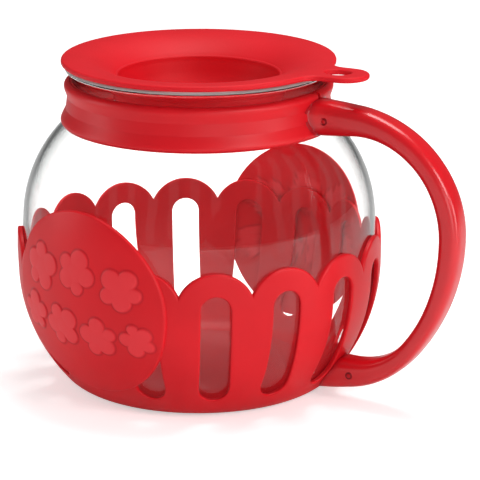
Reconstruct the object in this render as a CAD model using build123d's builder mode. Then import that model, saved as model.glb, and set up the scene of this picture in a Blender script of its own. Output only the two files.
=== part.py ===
from build123d import *
import os
from math import asin, atan2, cos, degrees, radians, sin, sqrt

# Microwave popcorn maker: a round glass jug in a slotted plastic basket, with a
# neck collar, a C handle pinned to collar and basket, two round badges and a
# silicone lid that pulls off. Millimetres, +Z up, origin in the middle of the
# flat base, handle towards +X.

# ---- driving dimensions ----------------------------------------------------
wall = 2.4                 # basket wall
glass_gap = 0.2            # basket to glass
glass_wall = 2.4
belly_radius = 95.0        # basket outside, at its widest
belly_height = 66.0

corner_radius = 18.0       # rounded foot of the basket, outside
lower_radius = 90.4        # arc from the foot up to the belly
side_radius = 400.0        # almost straight flank
side_top = 92.0            # height where the flank turns into the shoulder
shoulder_radius = 72.6

neck_radius = 64.9         # glass outside
neck_fillet = 6.0
neck_top = 159.6           # start of the flare
flare_radius = 9.0
flare_angle = 50.0
lip_bead = 1.5

lid_top = 172.0
lid_thickness = 2.9
lid_radius = 70.7
lid_flat = 66.0            # the rim is flat outside this radius
tab_overlap = 8.0          # how far the tab's sketch reaches in under the rim
under_kink = 161.4         # height where the well's outside meets the funnel's
ridge_radius = 0.9         # bead round the edge of the well
ridge_out = 0.3
ridge_down = 0.2
# outline of the plug ring that centres the lid in the glass lip
plug_outline = ((60.2, 169.4), (60.8, 165.4), (63.5, 165.4), (65.1, 167.6), (65.1, 169.4))
well_radius = 41.9
well_edge = 162.9
well_floor = 142.5
well_corner = 16.0
well_slope = 10.0          # degrees from upright
drip_hole = 2.4
drip_circle = 11.0
drip_count = 6

tab_centre = 83.4
tab_half_width = 12.3
tab_fillet = 9.0
tab_hole = (14.0, 12.6)
tab_hole_centre = 79.5

pitch = 22.5               # degrees between slots
slot_count = 16
slot_width = 15.0
slot_bottom = 12.3
slot_top = 71.7
arch_radius = 20.0
arch_centre = 63.5
scallop_floor = 68.0       # below this height no scallop reaches
cutter_start = 50.0        # the cutters run outwards from here
cutter_length = 65.0
cutter_room = 15.0

badge_radius = 48.0
badge_height = 61.0
badge_angle = 78.75        # the rear badge, the front one is opposite
badge_thickness = 1.6
badge_gap = 0.1
relief = 0.8
relief_root = 0.2          # how deep the relief is rooted in the disc

# popped kernels in relief: across, up, size, turn in degrees
flakes = (
    (-25, 16, 12.6, 10), (1, 18, 12.0, 62), (27, 13, 11.6, 128),
    (-32, -9, 10.4, 84), (-10, -12, 11.6, 33), (13, -14, 10.8, 164), (34, -13, 9.0, 250),
)
# lobes of a kernel: angle in degrees, then reach and radius as shares of its size
flake_lobes = (
    (8, 0.56, 0.48), (82, 0.64, 0.38), (150, 0.54, 0.46), (214, 0.66, 0.34), (286, 0.56, 0.44),
)
flake_heart = 0.5

collar_gap = 0.2
collar_bottom = 138.2
split_gap = 2.4
ear_thickness = 3.0
ear_end = 80.5
ear_low = 141.8
ear_high = 153.4
ear_round = 2.5

handle_start = 62.0        # inside the collar, trimmed to it
handle_height = 148.2      # middle of the handle's level top run
top_run = 27.0
upper_bend = 54.5
long_bend = 97.0
long_bend_angle = 38.5
lower_bend = 46.3
lower_bend_angle = 46.5
root_run = 21.0
handle_round = 4.2
handle_width = 15.4
joint_gap = 0.1
# thickness of the handle at shares of its length
handle_depths = (
    (0.000, 18.8), (0.045, 18.2), (0.080, 16.9), (0.125, 14.9), (0.190, 12.8),
    (0.300, 11.7), (0.410, 12.0), (0.500, 11.6), (0.600, 10.5), (0.700, 9.5),
    (0.785, 9.9), (0.850, 12.3), (0.910, 15.3), (0.950, 16.9), (1.000, 17.6),
)
saddle_width = 24.0        # the upper root spreads against the collar
saddle_end = 79.0

pin_radius = 1.55
pin_hole = 1.6
upper_pin = (75.4, 147.6)
lower_pin = (91.0, 15.8)
upper_pin_length = 17.0
lower_pin_length = 15.2
pin_chamfer = 0.4
lug_end = 96.0
lug_width = 7.0
lug_height = 7.6
pocket_gap = 0.2

os.makedirs("parts", exist_ok=True)

# ---- construction points of the body outline -------------------------------
# Every wall of the body is an offset of the basket's outside, so all of them
# share these centres and angles and differ only in their radii.
lower_centre = (belly_radius - lower_radius, belly_height)
corner_drop = belly_height - corner_radius
corner_reach = sqrt((lower_radius - corner_radius) ** 2 - corner_drop ** 2)
corner_centre = (lower_centre[0] + corner_reach, corner_radius)
corner_angle = -degrees(atan2(corner_drop, corner_reach))
side_centre = (belly_radius - side_radius, belly_height)
side_angle = degrees(asin((side_top - belly_height) / side_radius))
shoulder_arm = side_radius - shoulder_radius
shoulder_centre = (
    side_centre[0] + shoulder_arm * cos(radians(side_angle)),
    side_centre[1] + shoulder_arm * sin(radians(side_angle)),
)
glass_offset = -(wall + glass_gap)
fillet_centre_radius = neck_radius + neck_fillet
fillet_run = fillet_centre_radius - shoulder_centre[0]
fillet_arm = shoulder_radius + glass_offset + neck_fillet
fillet_rise = sqrt(fillet_arm ** 2 - fillet_run ** 2)
fillet_centre = (fillet_centre_radius, shoulder_centre[1] + fillet_rise)
shoulder_angle = degrees(atan2(fillet_rise, fillet_run))
flare_centre = (neck_radius + flare_radius, neck_top)


def on_arc(centre, radius, angle):
    """Point of an arc about centre, angle in degrees."""
    turn = radians(angle)
    return (centre[0] + radius * cos(turn), centre[1] + radius * sin(turn))


def body_path(offset_out):
    """Draw the body outline, offset outwards, from the axis to the shoulder's end."""
    Line((0, -offset_out), (corner_centre[0], -offset_out))
    CenterArc(corner_centre, corner_radius + offset_out, -90, 90 + corner_angle)
    CenterArc(lower_centre, lower_radius + offset_out, corner_angle, -corner_angle)
    CenterArc(side_centre, side_radius + offset_out, 0, side_angle)
    sweep_angle = shoulder_angle - side_angle
    CenterArc(shoulder_centre, shoulder_radius + offset_out, side_angle, sweep_angle)
    return on_arc(shoulder_centre, shoulder_radius + offset_out, shoulder_angle)


def body_wall(inner, outer):
    """Draw the closed outline of the wall between two offsets."""
    Line(body_path(inner), body_path(outer))
    Line((0, -inner), (0, -outer))


def body_solid(offset_out):
    """Draw the closed outline of everything inside one offset."""
    end = body_path(offset_out)
    Line(end, (0, end[1]))
    Line((0, end[1]), (0, -offset_out))


def radial_plane(angle, height):
    """Upright plane through the axis that faces outwards at an angle."""
    turn = radians(angle)
    outward = (cos(turn), sin(turn), 0)
    across = (-sin(turn), cos(turn), 0)
    return Plane(origin=(0, 0, height), x_dir=across, z_dir=outward)


# ---- glass jug --------------------------------------------------------------
glass_inside = glass_offset - glass_wall
fillet_angle = 180 + shoulder_angle
lip_centre = on_arc(flare_centre, flare_radius + glass_wall / 2, 180 - flare_angle)

with BuildPart() as jug:
    with BuildSketch(Plane.XZ):
        with BuildLine():
            body_wall(glass_inside, glass_offset)
        make_face()
        with BuildLine():
            for shift in (0, glass_wall):
                CenterArc(fillet_centre, neck_fillet + shift, 180, shoulder_angle)
                side = neck_radius - shift
                Line((side, fillet_centre[1]), (side, neck_top))
                CenterArc(flare_centre, flare_radius + shift, 180 - flare_angle, flare_angle)
            for centre, near, angle in (
                (fillet_centre, neck_fillet, fillet_angle),
                (flare_centre, flare_radius, 180 - flare_angle),
            ):
                Line(on_arc(centre, near, angle), on_arc(centre, near + glass_wall, angle))
        make_face()
        with Locations(lip_centre):
            Circle(lip_bead)
    revolve(axis=Axis.Z)

# ---- lid --------------------------------------------------------------------
rise = lid_top - well_edge
funnel_run = lid_flat - well_radius
funnel_radius = (funnel_run ** 2 + rise ** 2) / (2 * rise)
funnel_centre = (lid_flat, lid_top - funnel_radius)
funnel_angle = degrees(atan2(well_edge - funnel_centre[1], -funnel_run))
corner_height = well_floor + well_corner
wall_start = on_arc((0, corner_height), well_corner, -well_slope)
wall_run = (well_edge - wall_start[1]) * sin(radians(well_slope)) / cos(radians(well_slope))
floor_radius = well_radius - wall_run - wall_start[0]
bowl_centre = (floor_radius, corner_height)
bowl_end = on_arc(bowl_centre, well_corner, -well_slope)
under_end = on_arc(bowl_centre, well_corner + lid_thickness, -well_slope)
wall_lean = wall_run / (well_edge - wall_start[1])
under_top = (under_end[0] + (under_kink - under_end[1]) * wall_lean, under_kink)
under_radius = funnel_radius - lid_thickness
under_join = asin((under_top[1] - funnel_centre[1]) / under_radius)
under_angle = 180 - degrees(under_join)
under_point = on_arc(funnel_centre, under_radius, under_angle)
lid_under = lid_top - lid_thickness
tab_start = lid_flat - tab_overlap
rim_inner = lid_flat - 0.75 * tab_overlap
rim_round = lid_thickness / 2

with BuildPart() as lid:
    with BuildSketch(Plane.XZ):
        with BuildLine():
            Line((0, well_floor), (floor_radius, well_floor))
            CenterArc(bowl_centre, well_corner, -90, 90 - well_slope)
            Line(bowl_end, (well_radius, well_edge))
            CenterArc(funnel_centre, funnel_radius, 90, funnel_angle - 90)
            Line((lid_flat, lid_top), (lid_radius - rim_round, lid_top))
            CenterArc((lid_radius - rim_round, lid_top - rim_round), rim_round, -90, 180)
            Line((lid_radius - rim_round, lid_under), (lid_flat, lid_under))
            CenterArc(funnel_centre, under_radius, 90, under_angle - 90)
            Line(under_point, under_end)
            CenterArc(bowl_centre, well_corner + lid_thickness, -90, 90 - well_slope)
            Line((floor_radius, well_floor - lid_thickness), (0, well_floor - lid_thickness))
            Line((0, well_floor - lid_thickness), (0, well_floor))
        make_face()
        # ridge round the edge of the well
        with Locations((well_radius + ridge_out, well_edge - ridge_down)):
            Circle(ridge_radius)
        # short plug that centres the lid in the glass lip
        with BuildLine():
            Polyline(*plug_outline, close=True)
        make_face()
    revolve(axis=Axis.Z)
    # pull tab with its finger hole
    with BuildSketch(Plane.XY.offset(lid_under)) as tab:
        with BuildLine():
            Line((tab_start, tab_half_width), (tab_centre, tab_half_width))
            CenterArc((tab_centre, 0), tab_half_width, -90, 180)
            Line((tab_centre, -tab_half_width), (tab_start, -tab_half_width))
            Line((tab_start, -tab_half_width), (tab_start, tab_half_width))
        make_face()
        Circle(lid_radius)
        Circle(rim_inner, mode=Mode.SUBTRACT)
        fillet(tab.vertices().filter_by_position(Axis.X, lid_flat, lid_radius + 1), tab_fillet)
        with Locations((tab_hole_centre, 0)):
            Ellipse(tab_hole[0] / 2, tab_hole[1] / 2, mode=Mode.SUBTRACT)
    extrude(amount=lid_thickness)
    with Locations(Plane.XY.offset(well_floor)):
        with PolarLocations(drip_circle, drip_count):
            Hole(drip_hole / 2, depth=2 * lid_thickness)

# ---- neck collar --------------------------------------------------------------
collar_in = neck_radius + collar_gap
collar_fillet = neck_fillet - collar_gap
collar_seat = shoulder_radius + glass_offset + collar_gap
seat_angle = degrees(asin((collar_bottom - shoulder_centre[1]) / collar_seat))
seat_end = on_arc(shoulder_centre, collar_seat, seat_angle)
collar_top = (66.6, 160.5)


def collar_outside(gap=0.0):
    """Draw the collar's hourglass outside, from its top to its seat on the glass."""
    points = (
        collar_top, (69.0, 159.4), (69.7, 157.6), (68.5, 154.2), (67.8, 151.0),
        (68.5, 147.5), (70.9, 144.3), (71.7, 141.6), (71.3, 139.4), seat_end,
    )
    widened = [(radius + gap, height) for radius, height in points]
    Spline(*widened, tangents=((1, 0), (-1, -0.45)))
    return widened[0], widened[-1]


with BuildPart() as collar:
    with BuildSketch(Plane.XZ):
        with BuildLine():
            collar_outside()
            Line(collar_top, (collar_in, collar_top[1]))
            Line((collar_in, collar_top[1]), (collar_in, fillet_centre[1]))
            CenterArc(fillet_centre, collar_fillet, 180, shoulder_angle)
            CenterArc(shoulder_centre, collar_seat, seat_angle, shoulder_angle - seat_angle)
        make_face()
    revolve(axis=Axis.Z)
    ear_span = ear_end - neck_radius
    with BuildSketch(Plane.XZ):
        with Locations(((neck_radius + ear_end) / 2 + 1, (ear_low + ear_high) / 2)):
            RectangleRounded(ear_span - 2, ear_high - ear_low, ear_round)
    extrude(amount=split_gap / 2 + ear_thickness, both=True)
    with BuildSketch(Plane.XY.offset(collar_bottom - 2)):
        with Locations((neck_radius + ear_span / 2, 0)):
            Rectangle(2 * ear_span, split_gap)
    extrude(amount=collar_top[1] - collar_bottom + 4, mode=Mode.SUBTRACT)
    with Locations(Plane.XZ):
        with Locations((upper_pin[0], upper_pin[1], 0)):
            Cylinder(pin_hole, 4 * ear_thickness, mode=Mode.SUBTRACT)
    # the ears never bite into the neck of the glass
    with BuildSketch(Plane.XY.offset(ear_low)):
        Circle(collar_in)
    extrude(amount=collar_top[1] - ear_low, mode=Mode.SUBTRACT)

# ---- basket ---------------------------------------------------------------------
with BuildPart() as scallops:
    with BuildSketch(Plane.XY.offset(scallop_floor)):
        Circle(belly_radius + cutter_room)
        Circle(cutter_start, mode=Mode.SUBTRACT)
    extrude(amount=lid_top - scallop_floor)
    for step in range(slot_count):
        arch_plane = radial_plane(pitch * (step + 0.5), arch_centre)
        with BuildSketch(arch_plane.offset(cutter_start)):
            Circle(arch_radius)
        extrude(amount=cutter_length, mode=Mode.SUBTRACT)

with BuildPart() as slots:
    for step in range(slot_count):
        slot_plane = radial_plane(pitch * (step + 0.5), (slot_bottom + slot_top) / 2)
        with BuildSketch(slot_plane.offset(cutter_start)):
            SlotOverall(slot_top - slot_bottom, slot_width, rotation=90)
        extrude(amount=cutter_length)

with BuildPart() as glass_room:
    with BuildSketch(Plane.XZ):
        with BuildLine():
            body_solid(-wall)
        make_face()
    revolve(axis=Axis.Z)

with BuildPart() as basket:
    with BuildSketch(Plane.XZ):
        with BuildLine():
            body_wall(-wall, 0)
        make_face()
    revolve(axis=Axis.Z)
    add(scallops.part, mode=Mode.SUBTRACT)
    add(slots.part, mode=Mode.SUBTRACT)
    lug_start = lower_centre[0] + lower_radius * cos(asin((belly_height - lower_pin[1]) / lower_radius)) - 1
    with BuildSketch(Plane.XZ):
        with Locations(((lug_start + lug_end) / 2, lower_pin[1])):
            Rectangle(lug_end - lug_start, lug_height)
    extrude(amount=lug_width / 2, both=True)
    with Locations(Plane.XZ):
        with Locations((lower_pin[0], lower_pin[1], 0)):
            Cylinder(pin_hole, 2 * lug_width, mode=Mode.SUBTRACT)
    # the lug stays clear of the glass
    add(glass_room.part, mode=Mode.SUBTRACT)

# ---- badges ---------------------------------------------------------------------
badge_back = badge_gap
badge_face = badge_gap + badge_thickness
relief_face = badge_face + relief


def flake(x, y, size, turn):
    """A popped kernel: lobes of different sizes round a small heart."""
    with Locations((x, y)):
        Circle(size * flake_heart)
    for angle, reach, radius in flake_lobes:
        direction = radians(angle + turn)
        with Locations((x + size * reach * cos(direction), y + size * reach * sin(direction))):
            Circle(size * radius)


def badge_shell(inner, outer):
    """Ring of the body's wall between two offsets, for a badge to be cut from."""
    with BuildPart() as ring:
        with BuildSketch(Plane.XZ):
            with BuildLine():
                body_wall(inner, outer)
            make_face()
        revolve(axis=Axis.Z)
    return ring.part


plate_shell = badge_shell(badge_back, badge_face)
relief_shell = badge_shell(badge_face - relief_root, relief_face)


def make_badge(angle):
    """Round plaque bent to the body, with raised popped kernels in two rows."""
    face_plane = radial_plane(angle, badge_height)
    with BuildPart() as disc:
        with BuildSketch(face_plane.offset(cutter_start)):
            Circle(badge_radius)
        extrude(amount=cutter_length)
        add(plate_shell, mode=Mode.INTERSECT)
    with BuildPart() as motif:
        with BuildSketch(face_plane.offset(cutter_start)):
            for x, y, size, turn in flakes:
                flake(x, y, size, turn)
        extrude(amount=cutter_length)
        add(relief_shell, mode=Mode.INTERSECT)
    with BuildPart() as badge:
        add(disc.part)
        add(motif.part)
    return badge.part


front_badge = make_badge(badge_angle - 180)
rear_badge = make_badge(badge_angle)

# ---- handle -----------------------------------------------------------------------
with BuildPart() as collar_envelope:
    with BuildSketch(Plane.XZ):
        with BuildLine():
            top_corner, low_corner = collar_outside(joint_gap)
            Line(top_corner, (0, top_corner[1]))
            Line((0, top_corner[1]), (0, low_corner[1]))
            Line((0, low_corner[1]), low_corner)
        make_face()
    revolve(axis=Axis.Z)
with BuildPart() as body_envelope:
    with BuildSketch(Plane.XZ):
        with BuildLine():
            body_solid(joint_gap)
        make_face()
    revolve(axis=Axis.Z)

bend_turn = long_bend_angle + lower_bend_angle
with BuildLine(Plane.XZ) as spine:
    top_line = Line((handle_start, handle_height), (handle_start + top_run, handle_height))
    upper_arc = JernArc(top_line @ 1, top_line % 1, upper_bend, -90)
    long_arc = JernArc(upper_arc @ 1, upper_arc % 1, long_bend, -long_bend_angle)
    lower_arc = JernArc(long_arc @ 1, long_arc % 1, lower_bend, -lower_bend_angle)
    PolarLine(lower_arc @ 1, root_run, direction=lower_arc % 1)
spine_wire = spine.wires()[0]


def handle_edge(side):
    """Points along one edge of the handle, half its thickness off the spine."""
    points = []
    for share, depth in handle_depths:
        centre = spine_wire @ share
        along = spine_wire % share
        reach = side * depth / 2
        points.append((centre.X - reach * along.Z, centre.Z + reach * along.X))
    return points


with BuildPart() as handle:
    with BuildSketch(Plane.XZ.offset(-handle_width / 2)):
        with BuildLine():
            outer_edge = handle_edge(1)
            inner_edge = handle_edge(-1)
            Spline(*outer_edge)
            Spline(*inner_edge)
            Line(outer_edge[0], inner_edge[0])
            Line(outer_edge[-1], inner_edge[-1])
        make_face()
    extrude(amount=handle_width)
    fillet(handle.edges().filter_by(lambda edge: edge.length > long_bend), handle_round)
    # the upper root spreads to a saddle against the collar
    for reach, width, height in (
        (handle_start, saddle_width, handle_depths[0][1]),
        (saddle_end, handle_width, handle_depths[2][1]),
    ):
        with BuildSketch(Plane.YZ.offset(reach)):
            with Locations((0, handle_height)):
                RectangleRounded(width, height, handle_round)
    loft()
    add(collar_envelope.part, mode=Mode.SUBTRACT)
    add(body_envelope.part, mode=Mode.SUBTRACT)
    ear_pocket = split_gap / 2 + ear_thickness + pocket_gap
    with BuildSketch(Plane.XZ):
        with Locations(((neck_radius + ear_end) / 2, (ear_low + ear_high) / 2)):
            Rectangle(ear_end - neck_radius + 4 * pocket_gap, ear_high - ear_low + 2 * pocket_gap)
    extrude(amount=ear_pocket, both=True, mode=Mode.SUBTRACT)
    with BuildSketch(Plane.XZ):
        with Locations(((handle_start + lug_end) / 2, lower_pin[1])):
            Rectangle(lug_end - handle_start + 4 * pocket_gap, lug_height + 2 * pocket_gap)
    extrude(amount=lug_width / 2 + pocket_gap, both=True, mode=Mode.SUBTRACT)
    with Locations(Plane.XZ):
        for hole in (upper_pin, lower_pin):
            with Locations((hole[0], hole[1], 0)):
                Cylinder(pin_hole, 2 * saddle_width, mode=Mode.SUBTRACT)


def make_pin(place, length):
    """Plain cross pin with eased ends."""
    with BuildPart(Plane.XZ.offset(-length / 2)) as pin:
        with Locations((place[0], place[1], 0)):
            Cylinder(pin_radius, length, align=(Align.CENTER, Align.CENTER, Align.MIN))
        chamfer(pin.edges().filter_by(GeomType.CIRCLE), pin_chamfer)
    return pin.part


upper_pin_part = make_pin(upper_pin, upper_pin_length)
lower_pin_part = make_pin(lower_pin, lower_pin_length)

# ---- write the pieces ---------------------------------------------------------------
pieces = {
    "glass_jug": jug.part,
    "lid": lid.part,
    "neck_collar": collar.part,
    "lower_basket": basket.part,
    "handle": handle.part,
    "upper_handle_pin": upper_pin_part,
    "lower_handle_pin": lower_pin_part,
    "front_badge": front_badge,
    "rear_badge": rear_badge,
}
for name, piece in pieces.items():
    piece.label = name
    export_step(piece, f"parts/{name}.step")
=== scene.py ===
import bmesh
import bpy
import numpy as np
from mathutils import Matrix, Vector


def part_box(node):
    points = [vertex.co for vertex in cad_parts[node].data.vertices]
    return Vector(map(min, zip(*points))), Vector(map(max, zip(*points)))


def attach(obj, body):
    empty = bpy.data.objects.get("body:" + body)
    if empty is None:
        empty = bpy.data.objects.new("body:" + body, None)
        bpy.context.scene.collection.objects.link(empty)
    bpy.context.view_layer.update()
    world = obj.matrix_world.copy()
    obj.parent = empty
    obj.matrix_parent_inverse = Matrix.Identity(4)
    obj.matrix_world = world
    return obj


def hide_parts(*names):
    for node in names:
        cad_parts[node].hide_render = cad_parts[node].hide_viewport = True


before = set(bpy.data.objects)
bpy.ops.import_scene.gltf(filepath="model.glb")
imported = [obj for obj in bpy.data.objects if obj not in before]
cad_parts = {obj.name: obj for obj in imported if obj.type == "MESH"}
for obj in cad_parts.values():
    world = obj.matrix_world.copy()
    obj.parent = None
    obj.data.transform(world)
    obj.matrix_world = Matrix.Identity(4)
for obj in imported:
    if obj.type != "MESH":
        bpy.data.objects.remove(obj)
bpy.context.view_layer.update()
print("frame loaded:", len(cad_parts), "pieces")

# the body outline that every part follows, in metres
basketLow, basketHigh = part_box("lower_basket")
body = {
    "bellyRadius": -basketLow.x,
    "bellyHeight": 0.066,
    "cornerRadius": 0.018,
    "lowerRadius": 0.0904,
    "sideRadius": 0.4,
    "sideTop": 0.092,
    "shoulderRadius": 0.0726,
    "wall": 0.0024,
    "glassGap": 0.0002,
    "glassWall": 0.0024,
    "neckRadius": 0.0649,
    "neckFillet": 0.006,
    "neckTop": 0.1596,
    "flareRadius": 0.009,
    "flareAngle": 50.0,
    "lipBead": 0.0015,
}


def unit(degrees):
    # The direction at an angle in degrees.
    return np.array([np.cos(np.radians(degrees)), np.sin(np.radians(degrees))])


def arcPoints(centre, radius, start, end, count):
    # Points of a circle about centre from angle start to end, in degrees.
    return np.array(centre) + radius * unit(np.linspace(start, end, count)).T


def linePoints(start, end, count):
    # Evenly spaced points of a straight line.
    share = np.linspace(0, 1, count)[:, None]
    return np.array(start) * (1 - share) + np.array(end) * share


def bodyCentres():
    # Centres and end angles of the arcs that the body outline is made of.
    lower = np.array([body["bellyRadius"] - body["lowerRadius"], body["bellyHeight"]])
    drop = body["bellyHeight"] - body["cornerRadius"]
    reach = np.sqrt((body["lowerRadius"] - body["cornerRadius"]) ** 2 - drop ** 2)
    corner = np.array([lower[0] + reach, body["cornerRadius"]])
    cornerAngle = -np.degrees(np.arctan2(drop, reach))
    side = np.array([body["bellyRadius"] - body["sideRadius"], body["bellyHeight"]])
    sideAngle = np.degrees(np.arcsin((body["sideTop"] - body["bellyHeight"]) / body["sideRadius"]))
    arm = body["sideRadius"] - body["shoulderRadius"]
    shoulder = side + arm * unit(sideAngle)
    glass = -(body["wall"] + body["glassGap"])
    run = body["neckRadius"] + body["neckFillet"] - shoulder[0]
    rise = np.sqrt((body["shoulderRadius"] + glass + body["neckFillet"]) ** 2 - run ** 2)
    fillet = shoulder + np.array([run, rise])
    shoulderAngle = np.degrees(np.arctan2(rise, run))
    return {"lower": lower, "corner": corner, "cornerAngle": cornerAngle, "side": side,
            "sideAngle": sideAngle, "shoulder": shoulder, "fillet": fillet,
            "shoulderAngle": shoulderAngle, "glass": glass}


centres = bodyCentres()


def bodyOutline(offset):
    # Four tangent arcs, each moved outwards by offset: foot, lower belly, flank, shoulder.
    c = centres
    parts = [
        arcPoints(c["corner"], body["cornerRadius"] + offset, -90, c["cornerAngle"], 14),
        arcPoints(c["lower"], body["lowerRadius"] + offset, c["cornerAngle"], 0, 40)[1:],
        arcPoints(c["side"], body["sideRadius"] + offset, 0, c["sideAngle"], 16)[1:],
        arcPoints(c["shoulder"], body["shoulderRadius"] + offset,
                  c["sideAngle"], c["shoulderAngle"], 36)[1:],
    ]
    return np.concatenate(parts)


def bodyRadius(height, offset):
    # Radius of the body's surface at a height, for an outward offset.
    outline = bodyOutline(offset)
    return np.interp(height, outline[:, 1], outline[:, 0])


def blended(inner, outer, steps):
    # Rings from one closed outline to another: inner (1 - s) + outer s.
    share = np.linspace(0, 1, steps)[:, None, None]
    return inner[None] * (1 - share) + outer[None] * share


def atHeight(flat, height):
    # Flat points given a height.
    return np.concatenate([flat, np.broadcast_to(height, flat.shape[:-1])[..., None]], -1)


# mesh helpers
def gridQuads(rows, columns, start=0, wrap=False):
    # Corner numbers of the quads between neighbouring points of a grid.
    index = np.arange(rows * columns).reshape(rows, columns) + start
    if wrap:
        index = np.concatenate([index, index[:, :1]], 1)
    corners = (index[:-1, :-1], index[1:, :-1], index[1:, 1:], index[:-1, 1:])
    return np.stack(corners, -1).reshape(-1, 4)


def newPiece(name, points, quads, sharp):
    # A mesh object from points and quads. Doubled points are merged, so poles and seams
    # close, and the faces are turned outwards.
    mesh = bpy.data.meshes.new(name)
    mesh.vertices.add(len(points))
    mesh.vertices.foreach_set("co", points.reshape(-1).astype(np.float32))
    mesh.loops.add(quads.size)
    mesh.loops.foreach_set("vertex_index", quads.reshape(-1).astype(np.int32))
    mesh.polygons.add(len(quads))
    mesh.polygons.foreach_set("loop_start", np.arange(0, quads.size, 4, dtype=np.int32))
    mesh.update(calc_edges=True)
    work = bmesh.new()
    work.from_mesh(mesh)
    bmesh.ops.remove_doubles(work, verts=work.verts, dist=2e-6)
    bmesh.ops.dissolve_degenerate(work, edges=work.edges, dist=1e-7)
    bmesh.ops.recalc_face_normals(work, faces=work.faces)
    work.to_mesh(mesh)
    work.free()
    mesh.shade_smooth()
    mesh.set_sharp_from_angle(angle=np.radians(sharp))
    piece = bpy.data.objects.new(name, mesh)
    bpy.context.scene.collection.objects.link(piece)
    return piece


def gridObject(name, points, sharp):
    # A surface from a grid of points (rows, columns, 3) whose last column meets its first.
    rows, columns = points.shape[:2]
    return newPiece(name, points.reshape(-1, 3), gridQuads(rows, columns, wrap=True), sharp)


def patchObject(name, patches, sharp):
    # Several grids joined into one surface where their edges meet.
    start, quads = 0, []
    for patch in patches:
        rows, columns = patch.shape[:2]
        quads.append(gridQuads(rows, columns, start))
        start += rows * columns
    points = np.concatenate([patch.reshape(-1, 3) for patch in patches])
    return newPiece(name, points, np.concatenate(quads), sharp)


def paintMask(piece, name, values):
    # A mask from 0 to 1 on the mesh's points.
    mask = piece.data.attributes.new(name, "FLOAT", "POINT")
    mask.data.foreach_set("value", np.clip(values, 0, 1).astype(np.float32))


def pointsOf(piece):
    # The mesh's points as rows of x, y, z.
    flat = np.empty(len(piece.data.vertices) * 3)
    piece.data.vertices.foreach_get("co", flat)
    return flat.reshape(-1, 3)


def revolved(profile, segments):
    # A profile of (radius, height) turned about Z: (r cos a, r sin a, h).
    turn = np.linspace(0, 2 * np.pi, segments, endpoint=False)
    return turnedRings(profile, turn)


def turnedRings(profile, turn):
    # The same for given angles in radians: one row for each profile point.
    radius, height = profile[:, :1], profile[:, 1:]
    return np.stack([radius * np.cos(turn), radius * np.sin(turn), height + 0 * turn], -1)


def closedRevolve(profile, segments):
    # A turned profile whose first column is repeated at its end.
    ring = revolved(profile, segments)
    return np.concatenate([ring, ring[:, :1]], 1)


def finishPiece(piece, bodyName, slotName, material, *stoodFor):
    # Gives a finished piece its material, its body and the nodes it stands for.
    piece.data.materials.clear()
    piece.data.materials.append(material)
    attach(piece, bodyName)
    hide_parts(*stoodFor)


# materials
def addNode(tree, kind, links=None, values=None, **settings):
    # A shader node of a kind: sources linked into its inputs, plain values, settings.
    node = tree.nodes.new("ShaderNode" + kind)
    for key, value in settings.items():
        setattr(node, key, value)
    setInputs(node, values or {})
    linkInputs(tree, node, links or {})
    return node


def linkInputs(tree, node, links):
    # Links sources into a node's inputs by name.
    for socket, source in links.items():
        tree.links.new(source, node.inputs[socket])


def setInputs(node, values):
    # Plain values for a node's inputs by name.
    for socket, value in values.items():
        node.inputs[socket].default_value = value


def blankMaterial(name):
    # A new material, with its tree and its Principled shader.
    material = bpy.data.materials.new(name)
    material.use_nodes = True
    return material, material.node_tree, material.node_tree.nodes["Principled BSDF"]


def mixShaders(tree, factor, first, second):
    # Two shader outputs mixed by a factor.
    node = addNode(tree, "MixShader", {0: factor, 1: first, 2: second})
    return node.outputs["Shader"]


def makeGroup(name, inputs, outputs):
    # An empty node group with named sockets: (name, kind, value).
    group = bpy.data.node_groups.new(name, "ShaderNodeTree")
    for socketName, kind, value in inputs:
        socket = group.interface.new_socket(socketName, in_out="INPUT", socket_type=kind)
        socket.default_value = value
    for socketName, kind in outputs:
        group.interface.new_socket(socketName, in_out="OUTPUT", socket_type=kind)
    return group, group.nodes.new("NodeGroupInput"), group.nodes.new("NodeGroupOutput")


def mixColour(tree, factor, first, second):
    # Mixes two colour outputs or plain colours by a mask.
    node = addNode(tree, "Mix", {0: factor}, data_type="RGBA")
    for value, socket in ((first, node.inputs[6]), (second, node.inputs[7])):
        if isinstance(value, bpy.types.NodeSocket):
            tree.links.new(value, socket)
        else:
            socket.default_value = value
    return node.outputs[2]


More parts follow.
